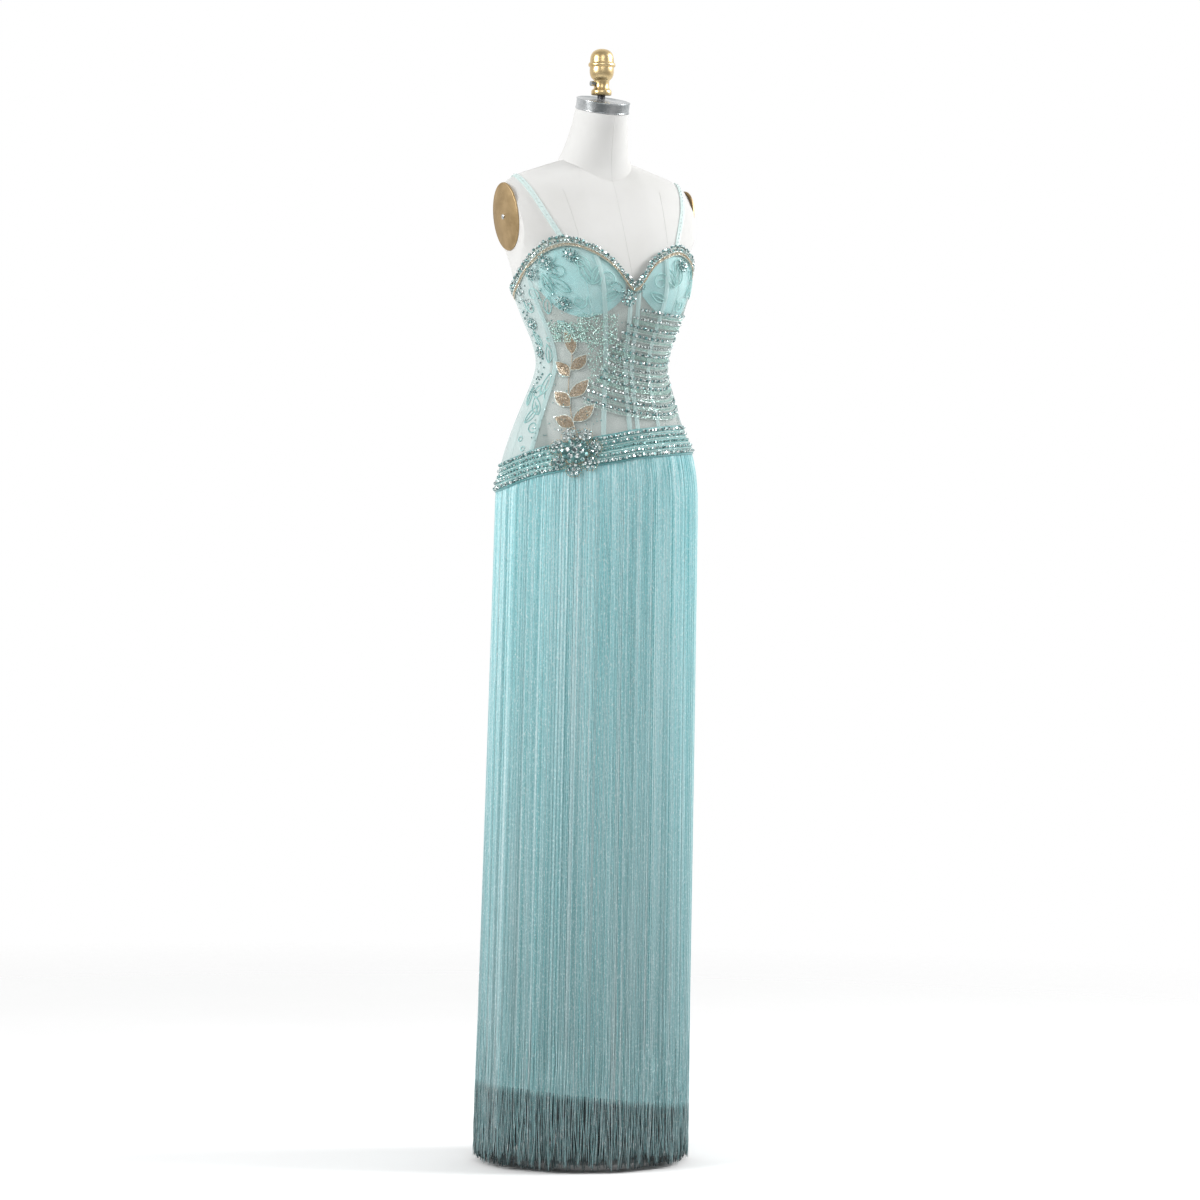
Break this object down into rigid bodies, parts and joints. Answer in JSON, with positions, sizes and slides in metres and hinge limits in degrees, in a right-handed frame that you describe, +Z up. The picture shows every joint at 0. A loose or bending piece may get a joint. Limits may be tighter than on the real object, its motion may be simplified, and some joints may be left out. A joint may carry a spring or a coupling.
{
  "type": "beaded fringe evening gown on a limbless dress form",
  "caption": "Floor-length strappy evening gown with a boned sheer bodice, slanting beaded hip belt and bead fringe skirt, worn on a limbless dress form with a pole and round base.",
  "frame": {"origin": "centre of the gown's footprint on the floor, under the base of the form", "axes": "+Z up, -Y towards the wearer's front, +X towards the wearer's left"},
  "size_m": [0.3625, 0.3085, 1.8335],
  "materials": {
    "net": "sheer pale aqua net",
    "satin": "aqua satin with a soft sheen",
    "beads": "close-set teal and clear glass beads on a cloth backing",
    "fringe": "glossy aqua chainette and bugle bead strands",
    "linen": "off-white linen cover",
    "steel": "brushed",
    "brass": "worn satin brass",
    "tan": "tan gold, satin",
    "iron": "black, satin"
  },
  "bodies": {
    "root": {"bodice_back_right": "net", "bodice_side_right": "net", "bodice_front": "net", "bodice_side_left": "net", "bodice_back_left": "net", "cup_right": "satin", "cup_left": "satin", "strap_right": "satin", "strap_left": "satin", "skirt_front": "satin", "skirt_back": "satin", "bone_01": "satin", "bone_02": "satin", "bone_03": "satin", "bone_04": "satin", "bone_05": "satin", "bone_06": "satin", "bone_07": "satin", "bone_08": "satin", "bone_09": "satin", "bone_10": "satin", "neckline_trim_right": "beads", "neckline_trim_left": "beads", "back_trim_left": "beads", "back_trim_right": "beads", "belt_front": "beads", "belt_back": "beads", "brooch": "beads", "rosette_cup_top": "beads", "rosette_cup_outer": "beads", "rosette_underarm": "beads", "rosette_cup_lower": "beads", "rosette_side_upper": "beads", "rosette_side_lower": "beads", "rosette_centre": "beads", "rosette_left_cup": "beads", "fringe": "fringe", "dress_form": "linen", "neck_cap": "steel", "pole_lower": "steel", "thumb_screw": "steel", "base": "steel", "finial": "brass", "arm_plate_right": "tan", "arm_plate_left": "tan", "pole_upper": "iron"}
  },
  "joints": []
}
